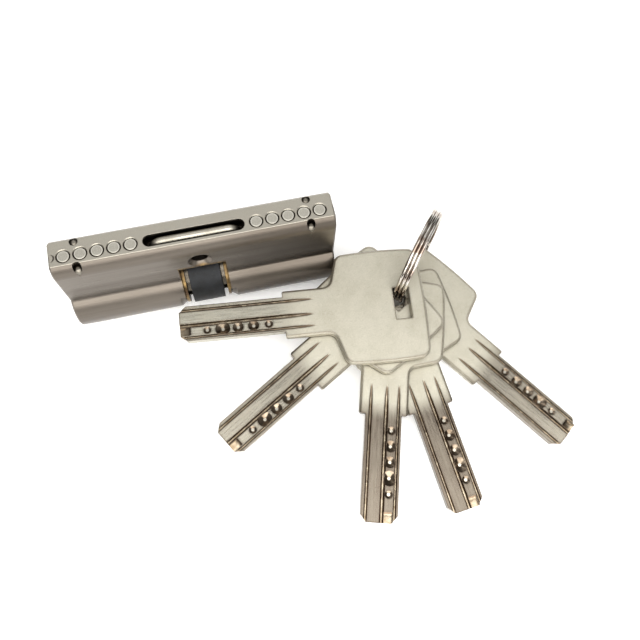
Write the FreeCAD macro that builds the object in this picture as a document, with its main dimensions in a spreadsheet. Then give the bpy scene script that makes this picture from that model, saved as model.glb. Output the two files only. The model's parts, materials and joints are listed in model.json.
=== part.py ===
"""Double euro profile cylinder, 35 + 35 mm, with its five dimple keys on a split ring.

Millimetres, +Z up. The origin is the centre of the threaded hole for the fixing screw. X runs along
the cylinder, Y through the thickness of the door edge, and the barrel hangs below the origin.
"""
import FreeCAD
import Part
import Sketcher

import math
import os
import re

DIMENSIONS = [
    # housing
    ("body_length", 70.0, "length over both ends"),
    ("barrel_radius", 8.5, "round part of the euro profile"),
    ("axis_drop", 16.6, "plug axis below the fixing screw"),
    ("lobe_width", 10.0, "thickness of the lobe"),
    ("crown_height", 3.4, "centre of the rounded lobe top above the screw"),
    ("strip_height", 7.3, "milled strip with the pin chambers"),
    ("end_chamfer", 0.4, "chamfer round both ends"),
    ("neck_fillet", 0.8, "fillet between lobe and barrel"),
    ("gap_half", 6.1, "half width of the cam gap"),
    ("gap_radius", 13.25, "height of the cam gap above the plug axis"),
    ("gap_bevel", 1.6, "bevel of the barrel beside the gap, along X"),
    ("gap_bevel_depth", 1.1, "the same bevel, inward"),
    ("screw_radius", 2.1, "tapped wall of the M5 fixing hole"),
    ("screw_mouth", 3.1, "countersink of the fixing hole"),
    ("slot_half", 12.5, "half length of the slot for the staple"),
    ("slot_width", 3.2, "width of that slot"),
    ("slot_depth", 4.0, "depth of that slot"),
    # pin rows
    ("row_offset", 0.8, "the pin rows lie this far off the middle plane"),
    ("first_chamber", 3.6, "first chamber from the end"),
    ("chamber_pitch", 4.0, "pitch of the chambers"),
    ("chamber_radius", 1.5, "bore of a chamber"),
    ("pin_radius", 1.45, "pins"),
    ("cap_radius", 1.62, "press plug that closes a chamber"),
    ("cap_length", 2.5, "length of that plug"),
    ("cap_recess", 0.12, "the plug sits this far below the strip"),
    ("cap_bevel", 0.22, "bevel of the plug and of the chamber mouth"),
    ("shear_gap", 0.5, "room between key pin and driver pin"),
    ("driver_length", 4.4, "length of a driver pin"),
    ("spring_radius", 1.05, "mean radius of a pin spring"),
    ("spring_wire", 0.18, "wire radius of a pin spring"),
    ("tip_radius", 0.8, "nose of a key pin"),
    ("ledge", 0.5, "step that stops a key pin above the keyway"),
    # plugs, clips and cam
    ("plug_radius", 6.45, "plug"),
    ("bore_radius", 6.5, "bore of the housing"),
    ("collar_radius", 7.2, "collar of the plug"),
    ("collar_length", 1.2, "length of the collar"),
    ("tail_end", 4.3, "inner end of a plug from the middle"),
    ("keyway_width", 9.9, "keyway, across"),
    ("keyway_height", 2.5, "keyway, thickness"),
    ("clip_inner", 5.3, "bore of a retaining clip"),
    ("clip_outer", 7.8, "outside of a retaining clip"),
    ("clip_thick", 0.75, "thickness of a retaining clip"),
    ("cam_half", 4.2, "half width of the cam"),
    ("hub_radius", 8.2, "hub of the cam"),
    ("cam_reach", 12.6, "tip of the cam from the plug axis"),
    ("cam_bore", 4.55, "bore of the cam"),
    ("lever_width", 7.0, "width of the cam lever"),
    ("cam_lean", 30.0, "degrees between the lever and the lobe"),
    ("clutch_radius", 4.5, "clutch disc"),
    ("clutch_thick", 2.5, "clutch disc, thickness"),
    ("clutch_tongue", 1.2, "height of the clutch tongue"),
    ("clutch_draw", 2.6, "back of the engaged clutch, inward from the face of the cam"),
    ("clutch_rest", 0.35, "back of the disengaged clutch from the middle"),
    ("clutch_spring_radius", 3.4, "mean radius of the clutch spring"),
    ("clutch_spring_wire", 0.2, "wire radius of the clutch spring"),
    ("tongue_width", 2.4, "width of tongue and dogs"),
    ("dog_reach", 5.6, "reach of the clutch dogs"),
    ("clearance", 0.06, "running clearance"),
    # staple and drill guards
    ("staple_radius", 1.2, "round bar of the staple"),
    ("staple_leg", 10.4, "leg of the staple from the middle"),
    ("staple_bend", 2.3, "bend of the staple"),
    ("staple_height", 5.7, "axis of the staple above the screw"),
    ("staple_foot", -0.8, "foot of the staple legs"),
    ("guard_radius", 1.05, "hardened drill guard pin"),
    ("guard_length", 11.0, "length of that pin"),
    ("guard_station", 28.6, "guard pins from the middle"),
    # keys and ring
    ("key_thick", 2.3, "key blank"),
    ("key_pitch", 2.35, "one key above the next on the ring"),
    ("blade_width", 9.4, "blade"),
    ("shank_width", 12.8, "shank between bow and blade"),
    ("key_tip", 58.7, "tip of the blade from the ring hole"),
    ("key_stop", 31.55, "shoulder that stops the key"),
    ("bow_back", 6.2, "back of the bow behind the ring hole"),
    ("bow_front", 17.2, "front of the bow ahead of the ring hole"),
    ("bow_width", 31.0, "bow"),
    ("bow_corner", 2.6, "corners of the bow"),
    ("bow_neck", 2.4, "fillet between bow and shank"),
    ("bow_rim", 0.5, "bevel round the key blank"),
    ("saw_radius", 60, "saw that cuts the grooves of a key"),
    ("dimple_row", 2.2, "dimples, off the middle of the blade"),
    ("dimple_floor", 0.45, "flat at the bottom of a dimple, radius"),
    ("dimple_slope", 1.5, "side of a dimple: outward for each unit of depth"),
    ("ramp_radius", 5.6, "ramp at the tip that lifts the pins"),
    ("ramp_depth", 1.0, "that ramp at the tip, below the face"),
    ("ramp_width", 2.1, "that ramp, across"),
    ("hole_length", 8.7, "ring hole, across the key"),
    ("hole_width", 4.3, "ring hole, along the key"),
    ("ring_radius", 13.1, "middle of the ring wire"),
    ("ring_wire", 0.5, "radius of the ring wire"),
    ("ring_turn", 0.97, "one turn of the ring beside the next"),
]
SIZE = {name: number for name, number, note in DIMENSIONS}

PINS = range(1, 6)
SIDES = {"front": -1, "rear": 1}
KEY_PIN_NOSE = [1.05, 1.3, 1.3, 1.6, 1.0]       # bitting: length of each key pin's nose
DIMPLE_DEPTHS = [0.45, 0.7, 0.7, 1.02, 0.4]     # and the depth of the dimple that it sits in

# Where the ring wire passes the keys: its place on the bench, the heading of the ring's plane, the
# middle of the lowest key above the bench, and the lean of the whole stack.
WIRE_AT = (49.2, -20.3)
RING_HEADING = 50.5
LOWEST_KEY = 4.2
STACK_LEAN = 4.0
LEAN_HEADING = -100.0
# For each key, top one first: where the wire stands in its ring hole, and the way its blade points.
KEY_POSES = [
    (0.65, -2.45, 173.9),
    (-0.5, 1.2, -150.4),
    (-0.5, 2.3, -106.8),
    (0.0, 1.9, -84.9),
    (0.1, -0.7, -54.8),
]

doc = FreeCAD.newDocument("EuroCylinder")
sheet = doc.addObject("Spreadsheet::Sheet", "dims")
for row, (alias, number, note) in enumerate(DIMENSIONS, start=1):
    sheet.set(f"A{row}", note)
    sheet.set(f"B{row}", str(number))
    sheet.setAlias(f"B{row}", alias)
doc.recompute()

ALIAS = re.compile(r"\b(" + "|".join(SIZE) + r")\b")
V = FreeCAD.Vector
TURN_X = FreeCAD.Rotation(V(0, 1, 0), 90)       # turns a +Z axis into +X
TURN_Y = FreeCAD.Rotation(V(1, 0, 0), -90)      # turns a +Z axis into +Y


def bind(thing, prop, formula):
    """Binds a property to the sheet; the formula names the sheet's aliases."""
    thing.setExpression(prop, ALIAS.sub(r"dims.\1", str(formula)))


def bind_base(thing, x, y, z):
    for axis, formula in zip("xyz", (x, y, z)):
        bind(thing, f"Placement.Base.{axis}", formula)


def box(name, x, y, z):
    """A box between two formulas on each axis."""
    solid = doc.addObject("Part::Box", name)
    for prop, (low, high) in zip(("Length", "Width", "Height"), (x, y, z)):
        bind(solid, prop, f"({high}) - ({low})")
    bind_base(solid, x[0], y[0], z[0])
    return solid


def turned(kind, name, radii, low, high, axis, across):
    """A cylinder or cone from low to high along an axis; across gives its other two coordinates."""
    solid = doc.addObject(kind, name)
    for prop, formula in radii.items():
        bind(solid, prop, formula)
    bind(solid, "Height", f"({high}) - ({low})")
    base = {"x": (low, *across), "y": (across[0], low, across[1]), "z": (*across, low)}[axis]
    if axis != "z":
        solid.Placement.Rotation = TURN_X if axis == "x" else TURN_Y
    bind_base(solid, *base)
    return solid


def rod(name, radius, low, high, axis="z", across=("0", "0")):
    return turned("Part::Cylinder", name, {"Radius": radius}, low, high, axis, across)


def cone(name, radius_low, radius_high, low, high, axis="z", across=("0", "0")):
    radii = {"Radius1": radius_low, "Radius2": radius_high}
    return turned("Part::Cone", name, radii, low, high, axis, across)


def fuse(name, pieces):
    joined = doc.addObject("Part::MultiFuse", name)
    joined.Shapes = pieces
    return joined


def cut(name, base, tool):
    result = doc.addObject("Part::Cut", name)
    result.Base = base
    result.Tool = fuse(name + "_cutters", tool) if isinstance(tool, list) else tool
    return result


def common(name, first, second):
    result = doc.addObject("Part::Common", name)
    result.Base = first
    result.Tool = second
    return result


def plane_of(body, role):
    return next(f for f in body.Origin.OriginFeatures if f.Role == role)


def body_with_sketch(name, role):
    body = doc.addObject("PartDesign::Body", name)
    sketch = body.newObject("Sketcher::SketchObject", name + "_outline")
    sketch.AttachmentSupport = [(plane_of(body, role), "")]
    sketch.MapMode = "FlatFace"
    return body, sketch


def outline(sketch, steps):
    """Draws a closed outline and returns the index of each edge. A step is a corner, or a corner and
    the point that an arc to the next corner passes through."""
    edges = []
    for here, after in zip(steps, steps[1:] + steps[:1]):
        start, end = V(*here[0], 0), V(*after[0], 0)
        if len(here) == 1:
            edges.append(sketch.addGeometry(Part.LineSegment(start, end), False))
        else:
            edges.append(sketch.addGeometry(Part.Arc(start, V(*here[1], 0), end), False))
    for index, corner in enumerate(steps):
        before, after = edges[index - 1], edges[index]
        ends = [end_at(sketch, edge, corner[0]) for edge in (before, after)]
        sketch.addConstraint(Sketcher.Constraint("Coincident", before, ends[0], after, ends[1]))
    return edges


def end_at(sketch, edge, corner):
    """Which end of an edge lies at a corner: the sketcher turns every arc anticlockwise."""
    here = V(*corner, 0)
    return min((1, 2), key=lambda end: sketch.getPoint(edge, end).distanceToPoint(here))


def fix_point(sketch, edge, end, x_formula, y_formula, point):
    """Holds one end of an edge at a place that the sheet gives."""
    for kind, formula, number in (("DistanceX", x_formula, point[0]), ("DistanceY", y_formula, point[1])):
        if formula is None:
            continue
        index = sketch.addConstraint(Sketcher.Constraint(kind, -1, 1, edge, end, number))
        bind(sketch, f"Constraints[{index}]", formula)


def fix_radius(sketch, edge, formula, number):
    index = sketch.addConstraint(Sketcher.Constraint("Radius", edge, number))
    bind(sketch, f"Constraints[{index}]", formula)


def pad(body, sketch, length):
    feature = body.newObject("PartDesign::Pad", sketch.Name + "_pad")
    feature.Profile = sketch
    feature.Midplane = True
    bind(feature, "Length", length)
    doc.recompute()
    return feature


def edge_names(shape, wanted):
    return [f"Edge{i}" for i, edge in enumerate(shape.Edges, start=1) if wanted(edge)]


def dress(body, kind, base, wanted, size_formula):
    """A fillet or chamfer on the edges that the test picks."""
    feature = body.newObject("PartDesign::" + kind, f"{body.Name}_{size_formula}")
    feature.Base = (base, edge_names(base.Shape, wanted))
    bind(feature, "Radius" if kind == "Fillet" else "Size", size_formula)
    doc.recompute()
    return feature


def chamber_x(side, number):
    """Station of a chamber, counted from the end of the housing."""
    return f"{SIDES[side]} * (body_length / 2 - first_chamber - {number - 1} * chamber_pitch)"


ROW = "-row_offset"
AXIS = "-axis_drop"


def housing_blank():
    body, sketch = body_with_sketch("cylinder_blank", "YZ_Plane")
    half = SIZE["lobe_width"] / 2
    axis = -SIZE["axis_drop"]
    radius = SIZE["barrel_radius"]
    neck = axis + math.sqrt(radius ** 2 - half ** 2)
    crown = SIZE["crown_height"]
    top = SIZE["strip_height"]
    flat = math.sqrt(half ** 2 - (top - crown) ** 2)
    rise = half * math.sin(math.radians(30))
    lean = half * math.cos(math.radians(30))
    barrel, left, shoulder_left, strip, shoulder_right, right = outline(sketch, [
        ((half, neck), (0, axis - radius)),
        ((-half, neck),),
        ((-half, crown), (-lean, crown + rise)),
        ((-flat, top),),
        ((flat, top), (lean, crown + rise)),
        ((half, crown),),
    ])
    fix_radius(sketch, barrel, "barrel_radius", radius)
    fix_point(sketch, barrel, 3, "0", "-axis_drop", (0, axis))
    fix_radius(sketch, shoulder_left, "lobe_width / 2", half)
    fix_radius(sketch, shoulder_right, "lobe_width / 2", half)
    for shoulder in (shoulder_left, shoulder_right):
        fix_point(sketch, shoulder, 3, "0", "crown_height", (0, crown))
    fix_point(sketch, left, 1, "-lobe_width / 2", None, (-half, neck))
    fix_point(sketch, right, 2, "lobe_width / 2", None, (half, neck))
    fix_point(sketch, left, 2, None, "crown_height", (-half, crown))
    fix_point(sketch, right, 1, None, "crown_height", (half, crown))
    fix_point(sketch, strip, 1, None, "strip_height", (-flat, top))
    fix_point(sketch, strip, 2, None, "strip_height", (flat, top))
    block = pad(body, sketch, "body_length")
    middle = lambda edge: edge.BoundBox.Center
    neck_edge = lambda e: e.BoundBox.XLength > 60 and abs(middle(e).z - neck) < 0.1
    necked = dress(body, "Fillet", block, neck_edge, "neck_fillet")
    end_edge = lambda e: e.BoundBox.XLength < 1e-4
    dress(body, "Chamfer", necked, end_edge, "end_chamfer")
    return body


def chamber_cutters(side):
    """The five chambers of one side, each with the seat and the mouth of its press plug."""
    tools = []
    for number in PINS:
        place = (chamber_x(side, number), ROW)
        name = f"{side}_chamber_{number}"
        seat = "strip_height - cap_recess - cap_length"
        tools.append(rod(name, "chamber_radius", AXIS, "strip_height", "z", place))
        tools.append(rod(name + "_seat", "cap_radius", seat, "strip_height + 1", "z", place))
        tools.append(cone(name + "_mouth", "cap_radius", "cap_radius + cap_bevel + 0.1",
                          "strip_height - cap_bevel", "strip_height + 0.1", "z", place))
    return tools


def guard_places():
    """The drill guard pins stand either side of the pin rows, near both ends: place, and the height
    above the crown's centre where the dome of the pin starts."""
    for side, sign in SIDES.items():
        for name, y, top in (("near", "-3.9", 1.85), ("far", "2.6", 3.1)):
            yield f"{side}_{name}", f"{sign} * guard_station", y, top


def housing():
    blank = housing_blank()
    wide = "barrel_radius + 1"
    below = "-axis_drop - barrel_radius - 1"
    tools = [
        box("cam_gap", ("-gap_half", "gap_half"), (f"-({wide})", wide), (below, "-axis_drop + gap_radius")),
        rod("plug_bore", "bore_radius", "-body_length / 2 - 1", "body_length / 2 + 1", "x", ("0", AXIS)),
        rod("screw_hole", "screw_radius", "-lobe_width", "lobe_width", "y"),
        cone("screw_mouth_near", "screw_mouth + 0.75", "screw_radius",
             "-lobe_width / 2 - 0.75", "-lobe_width / 2 + screw_mouth - screw_radius", "y"),
        cone("screw_mouth_far", "screw_radius", "screw_mouth + 0.75",
             "lobe_width / 2 - screw_mouth + screw_radius", "lobe_width / 2 + 0.75", "y"),
    ]
    half_slot = "(slot_half - slot_width / 2)"
    floor = "strip_height - slot_depth"
    y_slot = ("-row_offset - slot_width / 2", "-row_offset + slot_width / 2")
    tools.append(box("staple_slot", (f"-{half_slot}", half_slot), y_slot, (floor, "strip_height + 1")))
    for side, sign in SIDES.items():
        end = f"{sign} * body_length / 2"
        seat = [f"{end} - {sign} * (collar_length + 0.1)", f"{end} + {sign}"]
        if sign < 0:
            seat.reverse()
        tools.append(rod(side + "_seat", "collar_radius + clearance", *seat, "x", ("0", AXIS)))
        tools.append(rod(side + "_slot_end", "slot_width / 2", floor, "strip_height + 1", "z",
                         (f"{sign} * {half_slot}", ROW)))
        tools.append(rod(side + "_staple_hole", "staple_radius", "staple_foot", floor + " + 0.1", "z",
                         (f"{sign} * staple_leg", ROW)))
        tools += chamber_cutters(side)
        tools.append(gap_bevel(side, sign))
    for name, x, y, _ in guard_places():
        tools.append(rod(name + "_guard_hole", "guard_radius", "crown_height - guard_length + 2",
                         "strip_height + 1", "z", (x, y)))
    tools.append(end_mark())
    return cut("cylinder_body", blank, tools)


def gap_bevel(side, sign):
    """The barrel is bevelled where it meets the cam gap, below the lobe."""
    span = [f"{sign} * gap_half", f"{sign} * (gap_half + gap_bevel)"]
    radii = ["barrel_radius - gap_bevel_depth", "barrel_radius"]
    if sign < 0:
        span.reverse()
        radii.reverse()
    keep = cone(side + "_bevel_keep", *radii, *span, "x", ("0", AXIS))
    around = box(side + "_bevel_around", tuple(span), ("-barrel_radius - 1", "barrel_radius + 1"),
                 ("-axis_drop - barrel_radius - 1", "-axis_drop + 2.5"))
    return cut(side + "_gap_bevel", around, keep)


def end_mark():
    """A shallow crescent stamped between the first chamber and the end of the front half."""
    depth = ("strip_height - 0.25", "strip_height + 1")
    disc = rod("mark_disc", "1.05", *depth, "z", ("-body_length / 2 + 0.55", ROW))
    bite = rod("mark_bite", "1.05", "strip_height - 1", "strip_height + 2", "z",
               ("-body_length / 2 + 0.2", ROW))
    return cut("end_mark", disc, bite)


def chamber_caps(side):
    caps = []
    for number in PINS:
        place = (chamber_x(side, number), ROW)
        name = f"{side}_cap_{number}"
        top = "strip_height - cap_recess"
        shaft = rod(name + "_shaft", "cap_radius", f"{top} - cap_length", f"{top} - cap_bevel", "z", place)
        bevel = cone(name + "_bevel", "cap_radius", "cap_radius - cap_bevel", f"{top} - cap_bevel", top,
                     "z", place)
        caps.append(fuse(name, [shaft, bevel]))
    return group(side + "_chamber_caps", caps)


def group(name, pieces):
    """Separate identical solids that share one node."""
    together = doc.addObject("Part::Compound", name)
    together.Links = pieces
    return together


def drill_guard_pins():
    pins = []
    for name, x, y, top in guard_places():
        foot = "crown_height - guard_length + 2"
        dome = f"crown_height + {top}"
        shaft = rod(name + "_guard_shaft", "guard_radius", foot, dome, "z", (x, y))
        shoulder = cone(name + "_guard_shoulder", "guard_radius", "guard_radius * 0.8",
                        dome, dome + " + 0.3", "z", (x, y))
        nose = cone(name + "_guard_nose", "guard_radius * 0.8", "guard_radius * 0.4",
                    dome + " + 0.3", dome + " + 0.55", "z", (x, y))
        pins.append(fuse(name + "_guard_pin", [shaft, shoulder, nose]))
    return group("drill_guard_pins", pins)


def bridge_staple():
    """A round bar bent down at both ends; its legs stand in two holes beside the cam gap."""
    leg = SIZE["staple_leg"]
    bend = SIZE["staple_bend"]
    height = SIZE["staple_height"]
    foot = SIZE["staple_foot"]
    inset = bend * (1 - math.sqrt(0.5))
    corners = [V(-leg, 0, foot), V(-leg, 0, height - bend), V(-leg + bend, 0, height),
               V(leg - bend, 0, height), V(leg, 0, height - bend), V(leg, 0, foot)]
    path = Part.Wire([
        Part.LineSegment(corners[0], corners[1]).toShape(),
        Part.Arc(corners[1], V(-leg + inset, 0, height - inset), corners[2]).toShape(),
        Part.LineSegment(corners[2], corners[3]).toShape(),
        Part.Arc(corners[3], V(leg - inset, 0, height - inset), corners[4]).toShape(),
        Part.LineSegment(corners[4], corners[5]).toShape(),
    ])
    section = Part.Wire([Part.makeCircle(SIZE["staple_radius"], corners[0], V(0, 0, 1))])
    staple = doc.addObject("Part::Feature", "bridge_staple")
    staple.Shape = path.makePipeShell([section], True, True)
    staple.Placement.Base = V(0, -SIZE["row_offset"], 0)
    return staple


def plug(side):
    """A plug: collar at the outer end, keyway, five chambers, clip groove and a slot for the clutch."""
    sign = SIDES[side]
    end = "body_length / 2"
    groove = ("gap_half - 0.08 - clip_thick", "gap_half - 0.04")

    def along(low, high):
        """A span given outward from the middle, in the order of X on this side."""
        return (low, high) if sign > 0 else (f"-({high})", f"-({low})")

    core = [
        rod(side + "_plug_core", "plug_radius", *along(groove[1], end + " - 0.1"), "x", ("0", AXIS)),
        rod(side + "_plug_neck", "clip_inner - clearance", *along(groove[0], groove[1]), "x", ("0", AXIS)),
        rod(side + "_plug_tail", "plug_radius - 0.4", *along("tail_end", groove[0]), "x", ("0", AXIS)),
        rod(side + "_plug_collar", "collar_radius", *along(f"{end} - collar_length", end + " - 0.4"),
            "x", ("0", AXIS)),
    ]
    radii = ("collar_radius", "collar_radius - 0.35")
    face = along(end + " - 0.4", end + " - 0.05")
    core.append(cone(side + "_plug_face", *(radii if sign > 0 else radii[::-1]), *face, "x", ("0", AXIS)))
    half_key = "keyway_width / 2"
    key_top = "-axis_drop + keyway_height / 2"
    tools = [
        box(side + "_keyway", along("tail_end + 2.2", end + " + 1"), (f"-{half_key}", half_key),
            ("-axis_drop - keyway_height / 2", key_top)),
        box(side + "_clutch_slot", along("tail_end - 1", "tail_end + 1.5"), ("-8", "8"),
            ("-axis_drop - tongue_width / 2 - clearance", "-axis_drop + tongue_width / 2 + clearance")),
    ]
    for number in PINS:
        place = (chamber_x(side, number), ROW)
        name = f"{side}_plug_chamber_{number}"
        tools.append(rod(name, "chamber_radius", key_top + " + ledge", "-axis_drop + plug_radius + 1",
                         "z", place))
        tools.append(rod(name + "_nose", "tip_radius + 0.08", key_top + " - 0.5", key_top + " + ledge + 0.1",
                         "z", place))
    return cut(side + "_plug", fuse(side + "_plug_blank", core), tools)


def retaining_clip(side):
    sign = SIDES[side]
    span = ("gap_half - 0.06 - clip_thick", "gap_half - 0.06")
    if sign < 0:
        span = (f"-({span[1]})", f"-({span[0]})")
    disc = rod(side + "_clip_disc", "clip_outer", *span, "x", ("0", AXIS))
    eye = rod(side + "_clip_eye", "clip_inner", "-7", "7", "x", ("0", AXIS))
    mouth = box(side + "_clip_mouth", ("-7", "7"), ("-3.2", "3.2"), ("-axis_drop - 9", AXIS))
    return cut(side + "_retaining_clip", disc, [eye, mouth])


def key_pin(side, number):
    """A key pin: body under the shear line, thinner nose that reaches the key through the ledge."""
    top = "-axis_drop + sqrt(bore_radius ^ 2 - (row_offset + pin_radius) ^ 2) - shear_gap"
    shoulder = "-axis_drop + keyway_height / 2 + ledge + 0.62"
    nose = KEY_PIN_NOSE[number - 1]
    place = (chamber_x(side, number), ROW)
    name = f"{side}_key_pin_{number}"
    return fuse(name, [
        rod(name + "_shaft", "pin_radius", shoulder, top, "z", place),
        rod(name + "_nose", "tip_radius", f"{shoulder} - {nose} + 0.3", shoulder, "z", place),
        cone(name + "_point", "tip_radius * 0.6", "tip_radius", f"{shoulder} - {nose}",
             f"{shoulder} - {nose} + 0.3", "z", place),
    ])


DRIVER_FOOT = "-axis_drop + bore_radius + 0.05"


def driver_pin(side, number):
    """A driver pin with a waist, waiting just above the shear line."""
    place = (chamber_x(side, number), ROW)
    name = f"{side}_driver_pin_{number}"
    shaft = rod(name + "_shaft", "pin_radius", DRIVER_FOOT, DRIVER_FOOT + " + driver_length", "z", place)
    waist = cut(name + "_waist",
                rod(name + "_waist_outer", "pin_radius + 0.5", DRIVER_FOOT + " + 1.3",
                    DRIVER_FOOT + " + 2.9", "z", place),
                rod(name + "_waist_inner", "pin_radius - 0.35", DRIVER_FOOT + " + 1", DRIVER_FOOT + " + 3.2",
                    "z", place))
    return cut(name, shaft, waist)


def coil_sleeve(name, radius, wire, low, high, axis, across):
    """The space that a coil spring fills: a thin sleeve as thick as its wire."""
    outer = rod(name + "_outer", f"{radius} + {wire}", low, high, axis, across)
    inner = rod(name + "_inner", f"{radius} - {wire}", f"{low} - 1", f"{high} + 1", axis, across)
    return cut(name, outer, inner)


def pin_springs(side):
    """One spring for each chamber, between the driver pin and the press plug."""
    foot = f"{DRIVER_FOOT} + driver_length + 0.02"
    head = "strip_height - cap_recess - cap_length - 0.02"
    springs = [
        coil_sleeve(f"{side}_pin_spring_{number}", "spring_radius", "spring_wire", foot, head, "z",
                    (chamber_x(side, number), ROW))
        for number in PINS
    ]
    return group(side + "_pin_springs", springs)


def cam():
    """Hub and lever, with a bore and two keyways for the clutch; the lever leans off the lobe."""
    hub = rod("cam_hub", "hub_radius", "-cam_half", "cam_half", "x", ("0", AXIS))
    bar = box("cam_bar", ("-cam_half", "cam_half"), ("-lever_width / 2", "lever_width / 2"),
              (AXIS, "-axis_drop + cam_reach + 1"))
    reach = rod("cam_reach_disc", "cam_reach", "-cam_half", "cam_half", "x", ("0", AXIS))
    lever = common("cam_lever", bar, reach)
    bore = rod("cam_hole", "cam_bore", "-cam_half - 1", "cam_half + 1", "x", ("0", AXIS))
    dogs = box("cam_keyway", ("-cam_half - 1", "cam_half + 1"), ("-dog_reach - 0.05", "dog_reach + 0.05"),
               ("-axis_drop - tongue_width / 2 - 0.05", "-axis_drop + tongue_width / 2 + 0.05"))
    blank = fuse("cam_blank", [hub, lever])
    lean = FreeCAD.Rotation(V(1, 0, 0), -SIZE["cam_lean"])
    blank.Placement = FreeCAD.Placement(V(0, 0, 0), lean, V(0, 0, -SIZE["axis_drop"]))
    return cut("cam", blank, [bore, dogs])


def clutch(side):
    """A disc with two dogs that slide in the cam, and a tongue for the slot of one plug."""
    sign = SIDES[side]
    # The front clutch is engaged in its plug. The rear one is drawn back, clear of its plug.
    back = "cam_half - clutch_draw" if side == "front" else "clutch_rest"

    def along(low, high):
        return (low, high) if sign > 0 else (f"-({high})", f"-({low})")

    face = f"{back} + clutch_thick"
    disc = rod(side + "_clutch_disc", "clutch_radius", *along(back, face), "x", ("0", AXIS))
    bar = ("-axis_drop - tongue_width / 2", "-axis_drop + tongue_width / 2")
    dogs = box(side + "_clutch_dogs", along(back, face), ("-dog_reach", "dog_reach"), bar)
    tongue = box(side + "_clutch_tongue", along(face, f"{face} + clutch_tongue"),
                 ("-clutch_radius + 0.3", "clutch_radius - 0.3"), bar)
    return fuse(side + "_clutch", [disc, dogs, tongue])


def clutch_spring():
    """The spring between the two clutches, along X."""
    return coil_sleeve("clutch_spring", "clutch_spring_radius", "clutch_spring_wire",
                       "-cam_half + clutch_draw + 0.02", "clutch_rest - 0.02", "x", ("0", AXIS))


def key_blank():
    """Bow with bulged sides, shank, and a narrower blade with a bevelled tip, as one flat blank."""
    body, sketch = body_with_sketch("key_blank", "XY_Plane")
    back = -SIZE["bow_back"]
    front = SIZE["bow_front"]
    wide = SIZE["bow_width"] / 2
    shank = SIZE["shank_width"] / 2
    blade = SIZE["blade_width"] / 2
    stop = SIZE["key_stop"]
    tip = SIZE["key_tip"]
    side = [
        ((back + 0.7, wide - 0.5), ((back + front) / 2, wide)),
        ((front - 0.9, wide - 0.5),),
        ((front + 1.6, shank),),
        ((stop - 0.4, shank),),
        ((stop, shank - 0.4),),
        ((stop, blade),),
        ((tip - 1.9, blade),),
        ((tip, blade - 1.5),),
    ]
    # The other half is the same, mirrored in the key's middle line, and drawn the other way round.
    corners = [step[0] for step in side]
    arcs = {index: step[1] for index, step in enumerate(side) if len(step) == 2}
    steps = list(side)
    flip = lambda point: (point[0], -point[1])
    for index in range(len(side) - 1, -1, -1):
        step = (flip(corners[index]),)
        if index - 1 in arcs:
            step += (flip(arcs[index - 1]),)
        steps.append(step)
    steps[-1] = (flip(corners[0]), (back, 0))
    edges = outline(sketch, steps)
    mirror = lambda index: edges[2 * len(side) - 2 - index]
    fix_point(sketch, edges[2], 1, None, "shank_width / 2", corners[2])
    fix_point(sketch, edges[3], 1, None, "shank_width / 2", corners[3])
    fix_point(sketch, edges[4], 1, "key_stop", None, corners[4])
    fix_point(sketch, edges[5], 1, "key_stop", "blade_width / 2", corners[5])
    fix_point(sketch, edges[6], 1, None, "blade_width / 2", corners[6])
    fix_point(sketch, edges[7], 1, "key_tip", None, corners[7])
    fix_point(sketch, mirror(5), 2, "key_stop", "-blade_width / 2", flip(corners[5]))
    fix_point(sketch, mirror(7), 2, "key_tip", None, flip(corners[7]))
    blank = pad(body, sketch, "key_thick")
    upright = lambda e, x: e.BoundBox.ZLength > 1 and abs(e.BoundBox.XMin - x) < 0.01
    bow_corner = lambda e: upright(e, corners[0][0]) or upright(e, corners[1][0])
    rounded = dress(body, "Fillet", blank, bow_corner, "bow_corner")
    necked = dress(body, "Fillet", rounded, lambda e: upright(e, corners[2][0]), "bow_neck")
    rim = lambda e: e.BoundBox.ZLength < 1e-4 and e.BoundBox.XMax < stop - 0.1
    dress(body, "Chamfer", necked, rim, "bow_rim")
    return body


def groove(name, face, y, width, depth, start):
    """Cutters of a groove with sloped sides along the blade: its straight part from start to the tip,
    and the saw blade that leaves a pointed run-out ahead of it."""
    floor = 0.3 * width / 2
    over = 0.3
    wide = floor + (width / 2 - floor) * (depth + over) / depth
    straight = doc.addObject("Part::Wedge", name)
    straight.Placement.Rotation = FreeCAD.Rotation(V(1, 1, 1), 120)
    low, high = (floor, wide) if face > 0 else (wide, floor)
    bottom, lid = f"{face} * (key_thick / 2 - {depth})", f"{face} * (key_thick / 2 + {over})"
    spans = {"Xmin": y - low, "Xmax": y + low, "X2min": y - high, "X2max": y + high, "Zmin": start,
             "Z2min": start, "Zmax": "key_tip + 1", "Z2max": "key_tip + 1",
             "Ymin": bottom if face > 0 else lid, "Ymax": lid if face > 0 else bottom}
    for prop, formula in spans.items():
        bind(straight, prop, formula)
    middle = (str(start), f"{face} * (key_thick / 2 - {depth} + saw_radius)")
    radii = ("saw_radius", f"saw_radius - {depth + over}")
    return [
        straight,
        rod(name + "_saw", "saw_radius", f"{y - floor}", f"{y + floor}", "y", middle),
        cone(name + "_saw_side", *radii, f"{y + floor}", f"{y + wide}", "y", middle),
        cone(name + "_saw_back", *radii[::-1], f"{y - wide}", f"{y - floor}", "y", middle),
    ]


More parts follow.
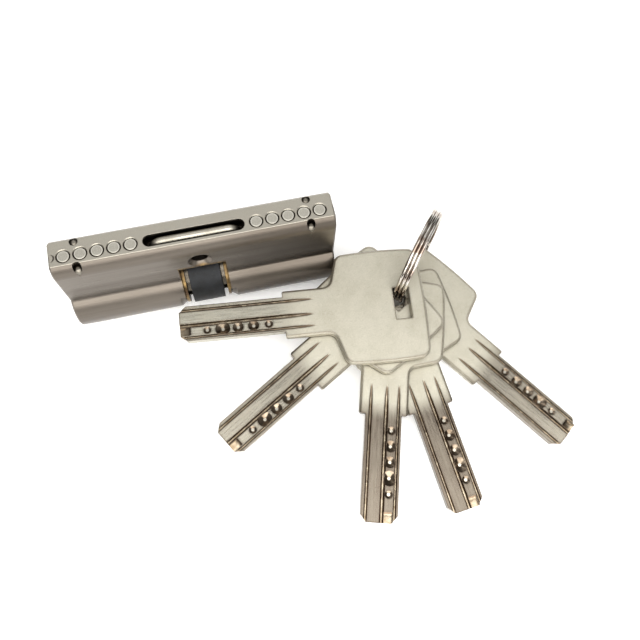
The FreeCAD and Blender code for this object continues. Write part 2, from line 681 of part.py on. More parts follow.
def key_cutters():
    """Ring hole, three grooves on each face, the row of dimples, and the ramp at the tip."""
    half_hole = "hole_length / 2"
    hole = box("ring_hole", ("-hole_width / 2", "hole_width / 2"), (f"-{half_hole}", half_hole), ("-3", "3"))
    tools = [hole]
    # groove: middle line across the blade, width, depth, and the start of its straight part
    grooves = [
        (-3.5, 0.9, 0.45, 30.6),
        (0.6, 1.15, 0.65, 32.4),
        (3.8, 0.8, 0.45, 30.6),
    ]
    for face in (1, -1):
        label = "upper" if face > 0 else "lower"
        for number, (y, width, depth, start) in enumerate(grooves, start=1):
            tools += groove(f"{label}_groove_{number}", face, face * y, width, depth, start)
        row = f"{face} * dimple_row"
        for number, depth in enumerate(DIMPLE_DEPTHS, start=1):
            station = f"key_stop + 4.1 + {number - 1} * chamber_pitch"
            z = (f"{face} * (key_thick / 2 - {depth})", f"{face} * (key_thick / 2 + 0.4)")
            radii = ("dimple_floor", f"dimple_floor + ({depth} + 0.4) * dimple_slope")
            if face < 0:
                radii, z = radii[::-1], z[::-1]
            tools.append(cone(f"{label}_dimple_{number}", *radii, *z, "z", (station, row)))
        ramp = (f"{row} - ramp_width / 2", f"{row} + ramp_width / 2")
        tools.append(rod(f"{label}_tip_ramp", "ramp_radius", *ramp, "y",
                         ("key_tip + 0.3", f"{face} * (key_thick / 2 - ramp_depth + ramp_radius)")))
    return fuse("key_cutters", tools)


def lean_rotation():
    """The stack of keys leans down towards one heading, because its lowest tips touch the bench."""
    heading = math.radians(LEAN_HEADING)
    hinge = V(-math.sin(heading), math.cos(heading), 0)
    return FreeCAD.Rotation(hinge, STACK_LEAN)


def bench():
    return -SIZE["axis_drop"] - SIZE["barrel_radius"]


def ring_centre_height():
    return SIZE["ring_radius"] + SIZE["ring_wire"]


def wire_point(height):
    """Where the inner strand of the upright ring is at a height above the bench."""
    drop = ring_centre_height() - height
    inward = SIZE["ring_radius"] - math.sqrt(SIZE["ring_radius"] ** 2 - drop ** 2)
    heading = math.radians(RING_HEADING)
    return V(WIRE_AT[0] + inward * math.cos(heading), WIRE_AT[1] + inward * math.sin(heading),
             bench() + height)


def keys():
    blank = key_blank()
    cutters = key_cutters()
    made = []
    for index, (wire_x, wire_y, heading) in enumerate(KEY_POSES):
        height = LOWEST_KEY + (len(KEY_POSES) - 1 - index) * SIZE["key_pitch"]
        pivot = wire_point(height)
        key = cut(f"key_{index + 1}", blank, cutters)
        turn = lean_rotation().multiply(FreeCAD.Rotation(V(0, 0, 1), heading))
        key.Placement = FreeCAD.Placement(pivot - turn.multVec(V(wire_x, wire_y, 0)), turn)
        made.append(key)
        print(f"{key.Label} pivot {pivot.x:.4f} {pivot.y:.4f} {pivot.z:.4f}")
    normal = lean_rotation().multVec(V(0, 0, 1))
    print(f"stack normal {normal.x:.6f} {normal.y:.6f} {normal.z:.6f}")
    return made


def split_ring():
    """Three turns of wire side by side in an upright ring."""
    turns = []
    for offset in (-1, 0, 1):
        turn = doc.addObject("Part::Torus", f"ring_turn_{offset + 2}")
        bind(turn, "Radius1", "ring_radius")
        bind(turn, "Radius2", "ring_wire")
        bind_base(turn, "0", "0", f"{offset} * ring_turn")
        turns.append(turn)
    ring = fuse("split_ring", turns)
    heading = math.radians(RING_HEADING)
    away = V(math.cos(heading), math.sin(heading), 0)
    side = V(-math.sin(heading), math.cos(heading), 0)
    start = wire_point(ring_centre_height())
    turn = FreeCAD.Rotation(V(0, 0, 1), side)
    ring.Placement = FreeCAD.Placement(start + away * SIZE["ring_radius"], turn)
    return ring


def assemble():
    nodes = [housing(), drill_guard_pins(), bridge_staple(), cam(), clutch_spring()]
    for side in SIDES:
        nodes += [chamber_caps(side), plug(side), retaining_clip(side), pin_springs(side), clutch(side)]
        nodes += [key_pin(side, number) for number in PINS]
        nodes += [driver_pin(side, number) for number in PINS]
    return nodes + keys() + [split_ring()]


def check_and_export(nodes):
    doc.recompute()
    failed = [o.Name for o in doc.Objects if "Invalid" in o.State or "Error" in o.State]
    if failed:
        raise SystemExit(f"failed features: {failed}")
    for node in nodes:
        if node.Shape.isNull() or not node.Shape.isValid():
            raise SystemExit(f"{node.Label} has no valid shape")
    os.makedirs("parts", exist_ok=True)
    for node in nodes:
        node.Shape.exportStep(f"parts/{node.Label}.step")
        print(f"{node.Label}: {len(node.Shape.Solids)} solid(s), {node.Shape.Volume:.2f} mm3")


check_and_export(assemble())
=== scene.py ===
"""Looks of the euro cylinder and its keys: finishes, coiled springs, split ring, floor, light, camera."""

import json
import math

import bpy
from mathutils import Matrix, Vector


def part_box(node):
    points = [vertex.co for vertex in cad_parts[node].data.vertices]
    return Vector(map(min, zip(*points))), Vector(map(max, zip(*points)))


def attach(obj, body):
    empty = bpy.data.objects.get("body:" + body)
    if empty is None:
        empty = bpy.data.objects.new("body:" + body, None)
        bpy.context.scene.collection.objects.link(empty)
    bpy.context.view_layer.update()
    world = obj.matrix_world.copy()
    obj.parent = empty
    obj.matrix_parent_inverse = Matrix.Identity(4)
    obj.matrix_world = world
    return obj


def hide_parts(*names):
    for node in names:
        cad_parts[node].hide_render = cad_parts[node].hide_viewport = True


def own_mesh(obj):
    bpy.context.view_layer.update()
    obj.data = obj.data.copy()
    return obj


MM = 0.001
BENCH = -25.1 * MM              # the cylinder stands on its barrel
ROW = -0.8 * MM                 # pin rows, off the middle plane
PITCH = 4.0 * MM                # one pin chamber to the next
FIRST_CHAMBER = 15.4 * MM       # innermost chamber, from the middle
STRIP = 7.3 * MM                # face of the milled strip, above the axis of the plugs
GAP_HALF = 6.1 * MM             # half of the cam gap

# Each key: the wire's place in the ring hole (mm) and the heading of its blade (degrees).
KEYS = {
    "key_1": (0.65, -2.45, 173.9),
    "key_2": (-0.5, 1.2, -150.4),
    "key_3": (-0.5, 2.3, -106.8),
    "key_4": (0.0, 1.9, -84.9),
    "key_5": (0.1, -0.7, -54.8),
}
BLADE_REFLECTION_SHADE = (0.08, 0.5, 0.97, 0.97, 0.62)   # how much painted shade darkens each key's blade, standing in for its darker reflection
KEY_HALF = 1.15 * MM            # half of a key's thickness
BLADE_HALF = 4.7 * MM           # half of a blade's width
FIRST_DIMPLE = 35.65 * MM       # first dimple of a key, from its ring hole
DIMPLE_ROW = 2.2 * MM           # dimples, off the middle of the blade
STACK_LEAN = (4.0, -100.0)      # the stack of keys leans this much, down towards this heading

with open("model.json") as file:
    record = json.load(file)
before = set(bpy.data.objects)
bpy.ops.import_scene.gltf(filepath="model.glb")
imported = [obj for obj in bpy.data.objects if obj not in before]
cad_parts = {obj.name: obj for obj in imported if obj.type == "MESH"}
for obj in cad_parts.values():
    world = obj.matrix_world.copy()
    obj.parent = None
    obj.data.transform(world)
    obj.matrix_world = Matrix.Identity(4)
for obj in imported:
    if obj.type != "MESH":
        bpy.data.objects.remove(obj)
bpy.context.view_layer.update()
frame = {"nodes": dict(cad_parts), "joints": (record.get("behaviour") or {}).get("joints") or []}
nodes = frame["nodes"]


# ---------------------------------------------------------------- shader helpers
class Finish:
    """A material; node() adds a node, sets its inputs, and links those that are given as sockets."""

    def __init__(self, name):
        self.material = bpy.data.materials.new(name)
        self.material.use_nodes = True
        self.tree = self.material.node_tree
        self.shader = self.tree.nodes["Principled BSDF"]
        self.place = self.node("ShaderNodeTexCoord").outputs["Object"]

    def node(self, kind, inputs=None, **settings):
        made = self.tree.nodes.new(kind)
        for key, value in settings.items():
            setattr(made, key, value)
        for key, value in (inputs or {}).items():
            self.feed(made.inputs[key], value)
        return made

    def feed(self, socket, value):
        if isinstance(value, bpy.types.NodeSocket):
            self.tree.links.new(value, socket)
        else:
            socket.default_value = value

    def math(self, operation, a, b=0.0):
        return self.node("ShaderNodeMath", {0: a, 1: b}, operation=operation).outputs[0]

    def vector_math(self, operation, a, b, output="Vector"):
        return self.node("ShaderNodeVectorMath", {0: a, 1: b}, operation=operation).outputs[output]

    def product(self, first, *others):
        """Several masks at once."""
        for other in others:
            first = self.math("MULTIPLY", first, other)
        return first

    def length(self, a, b):
        squares = self.math("ADD", self.math("POWER", a, 2.0), self.math("POWER", b, 2.0))
        return self.math("SQRT", squares)

    def in_row(self, value):
        """Distance to the nearest of a row of points one pitch apart, the first of them at 0."""
        shifted = self.math("ADD", value, PITCH / 2)
        return self.math("SUBTRACT", self.math("MODULO", shifted, PITCH), PITCH / 2)

    def axis(self, name):
        return self.node("ShaderNodeSeparateXYZ", {0: self.place}).outputs[name]

    def ramp(self, value, low, high, start=0.0, end=1.0):
        """start at low, end at high, and a smooth step between."""
        made = self.node("ShaderNodeMapRange", {0: value, 1: low, 2: high, 3: start, 4: end},
                         interpolation_type="SMOOTHSTEP")
        return made.outputs[0]

    def mix(self, factor, first, second):
        made = self.node("ShaderNodeMix", {0: factor, 6: first, 7: second}, data_type="RGBA")
        return made.outputs[2]

    def stretched(self, scale):
        return self.node("ShaderNodeMapping", {"Vector": self.place, "Scale": scale}).outputs[0]

    def noise(self, scale, detail=3.0, rough=0.5, vector=None):
        made = self.node("ShaderNodeTexNoise", {"Vector": vector or self.place, "Scale": scale,
                                                "Detail": detail, "Roughness": rough})
        return made.outputs["Fac"]

    def scratches(self, scale, angle, seed):
        """Sparse thin lines in one direction: 0 on the ground, 1 on a line."""
        turned = self.node("ShaderNodeMapping", {"Vector": self.place, "Rotation": (0, 0, angle),
                                                 "Location": (seed, seed * 0.7, 0),
                                                 "Scale": (scale * 0.05, scale, scale * 0.4)}).outputs[0]
        lines = self.noise(1.0, 2.0, 0.6, turned)
        return self.ramp(lines, 0.69, 0.75)

    def bump(self, height, strength, distance, normal=None):
        inputs = {"Height": height, "Strength": strength, "Distance": distance}
        if normal is not None:
            inputs["Normal"] = normal
        return self.node("ShaderNodeBump", inputs).outputs[0]

    def soft_edges(self, radius):
        """The broken edge that every machined part has, as a rounded normal."""
        return self.node("ShaderNodeBevel", {"Radius": radius}, samples=6).outputs[0]

    def recess_shade_mask(self, reach):
        """Near 1 in the open and near 0 deep in a recess; it is used to paint shade into recesses."""
        return self.node("ShaderNodeAmbientOcclusion", {"Distance": reach}, samples=6).outputs["AO"]

    def edge(self, radius):
        """0 on a face and more towards its edges, within the radius."""
        plain = self.node("ShaderNodeNewGeometry").outputs["Normal"]
        rounded = self.soft_edges(radius)
        return self.math("SUBTRACT", 1.0, self.vector_math("DOT_PRODUCT", plain, rounded, "Value"))

    def done(self, colour, rough, normal, metallic=1.0):
        for socket, value in {"Base Color": colour, "Roughness": rough, "Normal": normal,
                              "Metallic": metallic}.items():
            self.feed(self.shader.inputs[socket], value)
        return self.material


def rgb(red, green, blue):
    return (red, green, blue, 1.0)


RECESS_SHADE = rgb(0.035, 0.027, 0.018)


def paint(names, material):
    for name in names:
        slots = nodes[name].data.materials
        slots.clear()
        slots.append(material)


# ---------------------------------------------------------------- finishes
def worn_metal(name, colour, shade, rough, grain):
    """Plated or plain metal: cloudy colour, uneven roughness, fine grain, scratches, painted shade in the
    recesses.
    """
    f = Finish(name)
    clouds = f.noise(160, 4.0, 0.55)
    fine = f.noise(grain, 3.0, 0.6)
    tone = f.mix(f.ramp(clouds, 0.35, 0.68), rgb(*colour), rgb(*shade))
    tone = f.mix(f.ramp(fine, 0.45, 0.8, 0.0, 0.35), tone, rgb(*(c * 0.55 for c in shade)))
    lines = f.scratches(1500, 0.5, 0.3)
    lines = f.math("MAXIMUM", lines, f.scratches(1900, -0.9, 0.7))
    finish = f.ramp(clouds, 0.3, 0.7, rough * 0.85, rough * 1.2)
    finish = f.math("ADD", finish, f.ramp(fine, 0.4, 0.7, -0.03, 0.05))
    relief = f.math("SUBTRACT", fine, f.math("MULTIPLY", lines, 0.5))
    # painted shade: darker deep in recesses
    tone = f.mix(f.ramp(f.recess_shade_mask(5 * MM), 0.2, 0.85, 0.92, 0.0), tone, RECESS_SHADE)
    return f.done(tone, finish, f.bump(relief, 0.35, 0.02 * MM, f.soft_edges(0.1 * MM)))


def housing_finish():
    """Satin nickel brushed along the cylinder, a paler milled strip, bare brass in the cam gap."""
    f = Finish("housing_nickel")
    x, y, z = (f.axis(a) for a in "XYZ")
    bands = f.noise(1.0, 3.0, 0.5, f.stretched((9, 330, 330)))
    brushed = f.noise(1.0, 4.0, 0.65, f.stretched((60, 5200, 5200)))
    clouds = f.noise(55, 4.0, 0.55)
    grain = f.noise(5200, 3.0, 0.6)
    pits = f.ramp(f.noise(1500, 2.0, 0.5), 0.70, 0.78)
    tone = f.mix(f.ramp(bands, 0.35, 0.7), rgb(0.150, 0.132, 0.112), rgb(0.130, 0.113, 0.096))
    tone = f.mix(f.ramp(clouds, 0.45, 0.72, 0.0, 0.5), tone, rgb(0.128, 0.11, 0.092))
    # painted shade: darker towards the right of the housing, where the keys lie, and darker still low on the
    # right of the barrel
    right_side_shade = f.ramp(x, 2 * MM, 16 * MM, 0.0, 0.5)
    tone = f.mix(right_side_shade, tone, rgb(0.075, 0.062, 0.05))
    shaded = f.product(f.ramp(x, 4 * MM, 12 * MM), f.ramp(z, -16 * MM, -18.5 * MM), 0.8)
    tone = f.mix(shaded, tone, rgb(0.035, 0.029, 0.025))
    tone = f.mix(f.ramp(brushed, 0.42, 0.72, 0.0, 0.3), tone, rgb(0.096, 0.082, 0.07))
    tone = f.mix(f.math("MULTIPLY", pits, 0.4), tone, rgb(0.08, 0.065, 0.055))
    # the milled strip: crisp towards the front, worn away softly at the back
    fade = f.ramp(y, -0.5 * MM, 0.5 * MM, STRIP - 0.1 * MM, STRIP - 1.3 * MM)
    strip = f.ramp(z, fade, STRIP - 0.03 * MM)
    tone = f.mix(f.math("MULTIPLY", strip, 0.85), tone, rgb(0.43, 0.405, 0.345))
    speckle = f.math("MULTIPLY", strip, f.ramp(grain, 0.45, 0.7, 0.0, 0.45))
    tone = f.mix(speckle, tone, rgb(0.25, 0.23, 0.195))
    # painted shade in the recesses of the lobe, most of it in the slot of the staple
    reach = f.math("ABSOLUTE", x)
    recess = f.product(f.ramp(f.recess_shade_mask(3 * MM), 0.25, 0.85, 1.0, 0.0),
                       f.ramp(reach, 12.6 * MM, 14 * MM, 0.9, 0.45), f.ramp(z, -1 * MM, 1 * MM))
    tone = f.mix(recess, tone, rgb(0.02, 0.016, 0.012))
    # bare brass, dark with oil, on the walls of the cam gap
    in_gap = f.ramp(reach, GAP_HALF + 0.2 * MM, GAP_HALF + 0.05 * MM)
    bare = f.math("MULTIPLY", in_gap, f.ramp(z, -2.2 * MM, -3.0 * MM))
    blotch = f.noise(600, 4.0, 0.6)
    brass = f.mix(f.ramp(blotch, 0.35, 0.7), rgb(0.17, 0.115, 0.05), rgb(0.05, 0.035, 0.022))
    tone = f.mix(bare, tone, brass)
    rough = f.ramp(bands, 0.3, 0.7, 0.29, 0.37)
    rough = f.math("ADD", rough, f.math("MULTIPLY", strip, 0.12))
    rough = f.math("ADD", rough, f.ramp(brushed, 0.35, 0.7, -0.03, 0.05))
    relief = f.math("ADD", f.math("MULTIPLY", brushed, f.ramp(strip, 0.0, 1.0, 1.0, 0.3)),
                    f.math("MULTIPLY", grain, f.ramp(strip, 0.0, 1.0, 0.25, 1.1)))
    relief = f.math("SUBTRACT", relief, pits)
    return f.done(tone, rough, f.bump(relief, 0.45, 0.02 * MM, f.soft_edges(0.16 * MM)))


def cap_finish():
    """Press plugs with the rings of a lathe on their faces and a dark line where they meet the strip."""
    f = Finish("cap_nickel")
    x, y = (f.axis(a) for a in "XY")
    along = f.in_row(f.math("SUBTRACT", f.math("ABSOLUTE", x), FIRST_CHAMBER))
    radius = f.length(along, f.math("SUBTRACT", y, ROW))
    grain = f.noise(4200, 3.0, 0.6)
    feed = 0.3 * MM                         # from one turned ring to the next
    rings = f.math("SINE", f.math("MULTIPLY", radius, 2 * math.pi / feed))
    # painted highlight: a bright ring on the lip, just inside the dark line
    lip_highlight = f.math("MULTIPLY", f.ramp(radius, 1.12 * MM, 1.24 * MM), f.ramp(radius, 1.44 * MM, 1.36 * MM))
    rim = f.ramp(radius, 1.42 * MM, 1.52 * MM)
    tone = f.mix(f.ramp(grain, 0.35, 0.7), rgb(0.46, 0.44, 0.385), rgb(0.35, 0.33, 0.28))
    tone = f.mix(f.math("MULTIPLY", lip_highlight, 0.6), tone, rgb(0.72, 0.70, 0.62))
    tone = f.mix(rim, tone, rgb(0.07, 0.055, 0.045))
    relief = f.math("ADD", f.math("MULTIPLY", rings, 0.25), grain)
    relief = f.math("SUBTRACT", relief, f.math("MULTIPLY", rim, 2.0))
    rough = f.ramp(grain, 0.3, 0.7, 0.34, 0.46)
    return f.done(tone, rough, f.bump(relief, 0.5, 0.03 * MM, f.soft_edges(0.12 * MM)))


def cam_finish():
    """Blued sintered steel: dark slate, speckled, with rubbed edges."""
    f = Finish("cam_steel")
    speckle = f.noise(2600, 4.0, 0.65)
    clouds = f.noise(240, 3.0, 0.5)
    tone = f.mix(f.ramp(clouds, 0.35, 0.7), rgb(0.020, 0.021, 0.023), rgb(0.013, 0.013, 0.013))
    tone = f.mix(f.ramp(speckle, 0.55, 0.75, 0.0, 0.6), tone, rgb(0.045, 0.045, 0.043))
    rough = f.ramp(speckle, 0.3, 0.7, 0.42, 0.55)
    return f.done(tone, rough, f.bump(speckle, 0.4, 0.03 * MM, f.soft_edges(0.2 * MM)), metallic=0.85)


def key_frame(name):
    """Origin, blade direction, side direction and upward direction of a key, in the row frame."""
    joint = next(j for j in frame["joints"] if j["name"] == name + "_swing")
    wire_x, wire_y, heading = KEYS[name]
    lean, towards = (math.radians(a) for a in STACK_LEAN)
    tilt = Matrix.Rotation(lean, 3, Vector((-math.sin(towards), math.cos(towards), 0)))
    turn = tilt @ Matrix.Rotation(math.radians(heading), 3, "Z")
    along, side, up = (turn @ Vector(axis) for axis in ((1, 0, 0), (0, 1, 0), (0, 0, 1)))
    origin = Vector(joint["pos_m"]) - along * wire_x * MM - side * wire_y * MM
    return origin, along, side, up


def key_finish(name, seed, blade_shade):
    """Blasted champagne nickel, rubbed to brown and brass down in the grooves; painted shade and a painted
    highlight in the dimples.
    """
    f = Finish("key_nickel_" + name[-1])
    origin, along, side, up = key_frame(name)
    local = f.vector_math("SUBTRACT", f.place, origin)
    x, y, z = (f.vector_math("DOT_PRODUCT", local, d, "Value") for d in (along, side, up))
    shift = f.vector_math("ADD", local, (seed, seed * 2.3, seed * 0.7))
    grain = f.noise(6500, 3.0, 0.6, shift)
    clouds = f.noise(120, 4.0, 0.6, shift)
    blotch = f.noise(420, 4.0, 0.6, shift)
    tone = f.mix(f.ramp(clouds, 0.35, 0.7), rgb(0.53, 0.505, 0.42), rgb(0.455, 0.43, 0.352))
    tone = f.mix(f.ramp(grain, 0.40, 0.70, 0.0, 0.5), tone, rgb(0.24, 0.215, 0.17))
    milled = f.ramp(x, 27 * MM, 33.5 * MM)
    # painted reflection: the milled blade darker, in streaks along it, by each key's share given above
    streaks = f.noise(1.0, 3.0, 0.6, f.node("ShaderNodeCombineXYZ", {
        0: f.math("MULTIPLY", x, 110), 1: f.math("MULTIPLY", y, 1300), 2: seed}).outputs[0])
    blade_reflection = f.mix(f.ramp(streaks, 0.3, 0.7), rgb(0.105, 0.086, 0.068), rgb(0.165, 0.142, 0.113))
    tone = f.mix(f.math("MULTIPLY", milled, blade_shade), tone, blade_reflection)
    # painted shade on the rolled edge: a fine brown line inside it, and darker brown at its very corner
    border = f.edge(0.8 * MM)
    line = f.math("MULTIPLY", f.ramp(border, 0.005, 0.014), f.ramp(border, 0.055, 0.03))
    line = f.math("MAXIMUM", f.math("MULTIPLY", line, 0.7), f.ramp(border, 0.07, 0.15, 0.0, 0.95))
    tone = f.mix(line, tone, rgb(0.085, 0.062, 0.045))
    depth = f.math("SUBTRACT", KEY_HALF, f.math("ABSOLUTE", z))
    off_middle = f.math("ABSOLUTE", y)
    inside = f.ramp(off_middle, BLADE_HALF - 0.04 * MM, BLADE_HALF - 0.15 * MM)
    blade = f.math("MULTIPLY", f.ramp(x, 19 * MM, 22 * MM), inside)
    wall = f.math("MULTIPLY", blade, f.ramp(depth, 0.03 * MM, 0.14 * MM))
    floor = f.math("MULTIPLY", blade, f.ramp(depth, 0.28 * MM, 0.40 * MM))
    tone = f.mix(f.math("MULTIPLY", wall, 0.85), tone, rgb(0.15, 0.105, 0.07))
    brass = f.mix(f.ramp(blotch, 0.35, 0.7), rgb(0.40, 0.345, 0.26), rgb(0.20, 0.15, 0.095))
    tone = f.mix(f.math("MULTIPLY", floor, 0.8), tone, brass)
    # painted shade in brown on the cone of each dimple, and a painted highlight on the flat at its bottom
    station = f.in_row(f.math("SUBTRACT", x, FIRST_DIMPLE))
    radius = f.length(station, f.math("SUBTRACT", off_middle, DIMPLE_ROW))
    row_end = FIRST_DIMPLE + 4.5 * PITCH
    dimple_shade = f.product(f.ramp(x, FIRST_DIMPLE - 2 * MM, FIRST_DIMPLE - 1.9 * MM),
                     f.ramp(x, row_end + 0.1 * MM, row_end), f.ramp(radius, 2.1 * MM, 1.9 * MM),
                     f.ramp(depth, 0.03 * MM, 0.15 * MM))
    brown = f.mix(f.ramp(blotch, 0.3, 0.7), rgb(0.11, 0.08, 0.055), rgb(0.26, 0.215, 0.165))
    tone = f.mix(f.math("MULTIPLY", dimple_shade, 0.9), tone, brown)
    dimple_highlight = f.math("MULTIPLY", dimple_shade, f.ramp(radius, 0.46 * MM, 0.30 * MM))
    tone = f.mix(dimple_highlight, tone, rgb(0.50, 0.47, 0.40))
    # painted shade: darker deep in the grooves, dimples and other recesses
    tone = f.mix(f.ramp(f.recess_shade_mask(1.6 * MM), 0.15, 0.75, 0.85, 0.0), tone, rgb(0.03, 0.022, 0.015))
    lines = f.math("MAXIMUM", f.scratches(1400, 0.4 + seed, seed), f.scratches(1700, 1.9 - seed, seed + 3))
    rough = f.ramp(clouds, 0.3, 0.7, 0.42, 0.5)
    rough = f.math("SUBTRACT", rough, f.math("MULTIPLY", milled, 0.18))
    rough = f.math("ADD", rough, f.math("MULTIPLY", milled, f.ramp(streaks, 0.35, 0.65, -0.04, 0.08)))
    rough = f.math("ADD", rough, f.ramp(grain, 0.35, 0.7, -0.05, 0.06))
    rough = f.math("SUBTRACT", rough, f.math("MULTIPLY", wall, 0.12))
    relief = f.math("SUBTRACT", grain, f.math("MULTIPLY", lines, 0.6))
    return f.done(tone, rough, f.bump(relief, 0.5, 0.02 * MM, f.soft_edges(0.14 * MM)))


def ring_finish():
    """Bright chrome over steel, with a fine grain in its surface."""
    f = Finish("ring_chrome")
    fine = f.noise(2600, 3.0, 0.6)
    clouds = f.noise(260, 3.0, 0.5)
    # painted reflection: brown clouds in the chrome stand in for the keys mirrored in it
    tone = f.mix(f.ramp(clouds, 0.4, 0.65), rgb(0.58, 0.55, 0.51), rgb(0.27, 0.21, 0.17))
    rough = f.ramp(fine, 0.35, 0.7, 0.09, 0.2)
    return f.done(tone, rough, f.bump(fine, 0.2, 0.01 * MM))


housing = housing_finish()
steel = worn_metal("pin_steel", (0.62, 0.60, 0.56), (0.46, 0.44, 0.41), 0.26, 2600)
finishes = {
    "hard_steel": worn_metal("hard_steel", (0.24, 0.22, 0.185), (0.16, 0.145, 0.12), 0.42, 3000),
    "staple_nickel": worn_metal("staple_nickel", (0.46, 0.435, 0.375), (0.36, 0.335, 0.28), 0.38, 3400),
    "spring_steel": worn_metal("spring_steel", (0.55, 0.53, 0.50), (0.38, 0.36, 0.33), 0.3, 4000),
    "plug_nickel": worn_metal("plug_nickel", (0.36, 0.33, 0.28), (0.27, 0.245, 0.20), 0.32, 3200),
    "clip_bronze": worn_metal("clip_bronze", (0.20, 0.135, 0.055), (0.08, 0.05, 0.03), 0.34, 2600),
    "clutch_steel": worn_metal("clutch_steel", (0.36, 0.34, 0.31), (0.24, 0.22, 0.20), 0.34, 2800),
    "pin_brass": worn_metal("pin_brass", (0.72, 0.52, 0.21), (0.52, 0.35, 0.13), 0.26, 2600),
}
chrome = ring_finish()

paint(["cylinder_body"], housing)
paint(["drill_guard_pins"], finishes["hard_steel"])
paint(["bridge_staple"], finishes["staple_nickel"])
paint(["front_chamber_caps", "rear_chamber_caps"], cap_finish())
paint(["cam"], cam_finish())
for end in ("front", "rear"):
    paint([end + "_plug"], finishes["plug_nickel"])
    paint([end + "_retaining_clip"], finishes["clip_bronze"])
    paint([end + "_clutch"], finishes["clutch_steel"])
    paint([f"{end}_key_pin_{n}" for n in range(1, 6)], finishes["pin_brass"])
    paint([f"{end}_driver_pin_{n}" for n in range(1, 6)], steel)
    paint([end + "_pin_springs"], finishes["spring_steel"])
paint(["clutch_spring"], finishes["spring_steel"])
paint(["split_ring"], chrome)
for seed, (key, blade_shade) in enumerate(zip(KEYS, BLADE_REFLECTION_SHADE)):
    paint([key], key_finish(key, 0.31 * seed, blade_shade))


# ---------------------------------------------------------------- wire pieces
def wire_piece(name, line, radius, sides, material, body, replaced):
    """Round wire along a line of points, as one mesh with closed ends."""
    vertices, faces = [], []
    last = len(line) - 1
    normal = (line[1] - line[0]).orthogonal()
    for index, point in enumerate(line):
        ahead = (line[min(index + 1, last)] - line[max(index - 1, 0)]).normalized()
        normal = (normal - ahead * normal.dot(ahead)).normalized()
        other = ahead.cross(normal)
        for side in range(sides):
            angle = 2 * math.pi * side / sides
            vertices.append(point + radius * (math.cos(angle) * normal + math.sin(angle) * other))
    for index in range(last):
        for side in range(sides):
            a = index * sides + side
            b = index * sides + (side + 1) % sides
            faces.append((a, b, b + sides, a + sides))
    faces.append(tuple(reversed(range(sides))))
    faces.append(tuple(last * sides + side for side in range(sides)))
    mesh = bpy.data.meshes.new(name)
    mesh.from_pydata(vertices, [], faces)
    for face in mesh.polygons:
        face.use_smooth = len(face.vertices) == 4
    mesh.materials.append(material)
    piece = bpy.data.objects.new(name, mesh)
    bpy.context.scene.collection.objects.link(piece)
    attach(piece, body)
    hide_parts(replaced)
    return piece


def coil(centre, axis, radius, wire, turns, length, steps=20):
    """Points of a coil spring; its first and last turn lie closed against their neighbours."""
    closed_turns = 0.9
    across = axis.orthogonal().normalized()
    other = axis.cross(across)
    points = []
    count = int(turns * steps)
    free_length = length - 2 * wire - 2 * closed_turns * wire
    for index in range(count + 1):
        share = index / count
        turn = share * turns
        rise = min(max((turn - closed_turns) / (turns - 2 * closed_turns), 0.0), 1.0)
        closed = wire * (min(turn, closed_turns) + max(turn - turns + closed_turns, 0.0))
        height = rise * free_length + closed - length / 2 + wire
        angle = 2 * math.pi * turns * share
        points.append(centre + axis * height + radius * (math.cos(angle) * across + math.sin(angle) * other))
    return points


def pin_springs(end):
    """Five small springs on each side, each one pressed together by its own driver pin."""
    radius, wire, turns, pin_travel = 1.05 * MM, 0.16 * MM, 6.5, 0.8 * MM
    node = end + "_pin_springs"
    bottom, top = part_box(node)
    sign = 1 if end == "rear" else -1
    for number in range(1, 6):
        station = sign * (FIRST_CHAMBER + (5 - number) * PITCH)
        centre = Vector((station, ROW, (bottom.z + top.z) / 2))
        length = top.z - bottom.z
        points = coil(centre, Vector((0, 0, 1)), radius, wire, turns, length)
        spring = wire_piece(f"{end}_pin_spring_{number}", points, wire, 8,
                            finishes["spring_steel"], "housing", node)
        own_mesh(spring)


def clutch_spring():
    """The spring between the clutches: the front one presses it, the rear one's travel is left free."""
    bottom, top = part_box("clutch_spring")
    front_travel, rear_travel, play = 0.8 * MM, 0.5 * MM, 0.03 * MM
    radius, wire, turns = 3.4 * MM, 0.15 * MM, 3.2
    length = top.x - bottom.x - rear_travel - 2 * play
    centre = (bottom + top) / 2
    centre.x = bottom.x + play + length / 2
    points = coil(centre, Vector((1, 0, 0)), radius, wire, turns, length, steps=40)
    spring = wire_piece("clutch_spring_coil", points, wire, 8, finishes["spring_steel"], "cam",
                        "clutch_spring")
    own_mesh(spring)


def split_ring():
    """Three turns of one wire, side by side; the ends meet the next turn where it steps across."""
    bottom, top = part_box("split_ring")
    middle = (bottom + top) / 2
    heading = math.radians(50.5)
    across = Vector((math.cos(heading), math.sin(heading), 0))   # in the plane of the ring
    beside = Vector((-math.sin(heading), math.cos(heading), 0))  # along the axis of the ring
    up = Vector((0, 0, 1))
    step, wire, radius = 0.97 * MM, 0.5 * MM, 13.1 * MM
    slimmer = 0.985                         # keeps the wire inside the box of the CAD ring
    start = math.radians(-75)               # the steps lie low on the ring, under the keys
    turns, per_turn, straight = 2.92, 150, 0.9
    line = []
    for index in range(int(turns * per_turn) + 1):
        turn = index / per_turn
        whole = int(turn)
        crossing = max((turn - whole - straight) / (1 - straight), 0.0)
        crossing = crossing * crossing * (3 - 2 * crossing)
        offset = min(whole + crossing, 2.0) - 1.0
        angle = start + 2 * math.pi * turn
        spoke = math.cos(angle) * across + math.sin(angle) * up
        line.append(middle + radius * spoke + beside * offset * step)
    wire_piece("split_ring_wire", line, wire * slimmer, 20, chrome, "key_ring", "split_ring")


for end in ("front", "rear"):
    pin_springs(end)
clutch_spring()
split_ring()


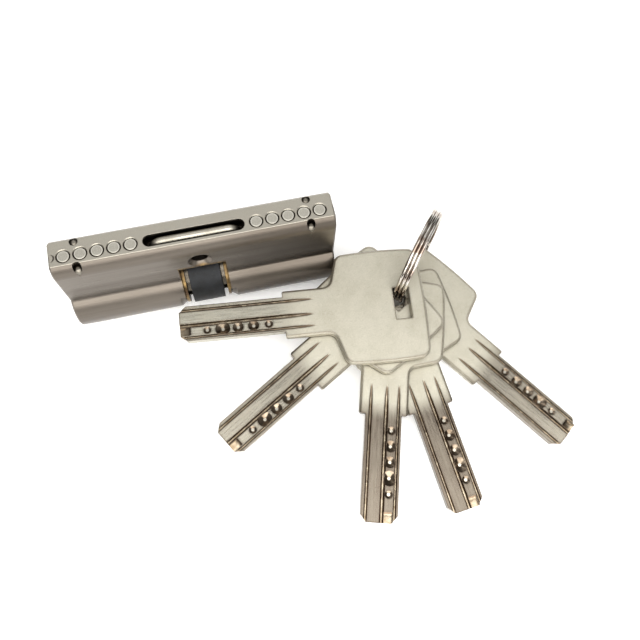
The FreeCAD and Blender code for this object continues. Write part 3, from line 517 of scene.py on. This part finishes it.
# ---------------------------------------------------------------- floor, light, camera
def floor_finish():
    f = Finish("glowing_white_board")
    fine = f.noise(900, 3.0, 0.5)
    tone = f.mix(f.ramp(fine, 0.3, 0.7), rgb(0.93, 0.93, 0.93), rgb(0.91, 0.91, 0.905))
    rough = f.ramp(fine, 0.3, 0.7, 0.75, 0.85)
    material = f.done(tone, rough, f.bump(fine, 0.05, 0.02 * MM), metallic=0.0)
    f.shader.inputs["Specular IOR Level"].default_value = 0.15
    # a light table, as in catalogue photos: the floor glows so that nothing throws a shadow, and its glow is
    # left out under the ring holes as a painted shadow under the keys
    f.shader.inputs["Emission Color"].default_value = rgb(1.0, 1.0, 1.0)
    painted_shadow_spot = Vector((50 * MM, -20 * MM, 0))
    away = f.vector_math("DISTANCE", f.place, painted_shadow_spot, "Value")
    f.feed(f.shader.inputs["Emission Strength"], f.ramp(away, 5 * MM, 11 * MM, 0.0, 0.22))
    return material


def floor():
    bpy.ops.mesh.primitive_plane_add(size=6, location=(0, 0, BENCH))
    board = bpy.context.object
    board.name = "floor"
    board.data.materials.append(floor_finish())


def softbox(name, heading, rise, distance, width, height, radiance, colour=(1, 1, 1)):
    """An area light that faces the object: heading from +X in degrees, rise above the bench."""
    lamp = bpy.data.lights.new(name, "AREA")
    lamp.shape = "RECTANGLE"
    lamp.size, lamp.size_y = width, height
    lamp.energy = radiance * math.pi * width * height
    lamp.color = colour
    placed = bpy.data.objects.new(name, lamp)
    bpy.context.scene.collection.objects.link(placed)
    a, e = math.radians(heading), math.radians(rise)
    away = Vector((math.cos(a) * math.cos(e), math.sin(a) * math.cos(e), math.sin(e)))
    placed.location = away * distance
    placed.rotation_euler = away.to_track_quat("Z", "Y").to_euler()


def surroundings():
    """A room that is bright overhead and dark towards the horizon, so that metal has something to show."""
    world = bpy.data.worlds.new("room")
    bpy.context.scene.world = world
    world.use_nodes = True
    tree = world.node_tree
    back = tree.nodes["Background"]
    place = tree.nodes.new("ShaderNodeTexCoord")
    split = tree.nodes.new("ShaderNodeSeparateXYZ")
    ramp = tree.nodes.new("ShaderNodeValToRGB")
    tree.links.new(place.outputs["Generated"], split.inputs[0])
    tree.links.new(split.outputs["Z"], ramp.inputs[0])
    tree.links.new(ramp.outputs[0], back.inputs["Color"])
    stops = ramp.color_ramp.elements
    stops[0].position, stops[0].color = 0.0, rgb(0.075, 0.065, 0.055)
    stops[1].position, stops[1].color = 0.95, rgb(0.85, 0.85, 0.85)
    for position, colour in ((0.3, (0.12, 0.11, 0.10)), (0.6, (0.42, 0.41, 0.40))):
        stops.new(position).color = rgb(*colour)
    back.inputs["Strength"].default_value = 1.0


def camera():
    """Nearly overhead, from in front and a little to the right of the cylinder's middle."""
    heading, drop, roll = (math.radians(a) for a in (18.81, 69.80, 6.35))
    ahead = Vector((math.sin(heading) * math.cos(drop), math.cos(heading) * math.cos(drop), -math.sin(drop)))
    level = Vector((math.cos(heading), -math.sin(heading), 0))
    right = level * math.cos(roll) + level.cross(ahead) * math.sin(roll)
    turn = Matrix((right, right.cross(ahead), -ahead)).transposed()
    lens = bpy.data.cameras.new("camera")
    lens.sensor_width = 36
    lens.lens = 38.83
    lens.clip_start, lens.clip_end = 0.005, 20
    placed = bpy.data.objects.new("camera", lens)
    bpy.context.scene.collection.objects.link(placed)
    place = Vector((7.03, -82.05, 158.66)) * MM
    placed.matrix_world = Matrix.Translation(place) @ turn.to_4x4()
    bpy.context.scene.camera = placed


floor()
surroundings()
softbox("overhead", -100, 65, 0.9, 1.5, 0.75, 3.6, (1.0, 0.99, 0.965))
softbox("back_fill", 85, 45, 0.9, 1.1, 0.35, 1.2)
softbox("front_strip", -95, 24, 0.9, 1.2, 0.34, 5.0, (1.0, 0.985, 0.955))
camera()

bpy.context.scene.view_settings.view_transform = "Standard"
bpy.context.scene.view_settings.look = "None"
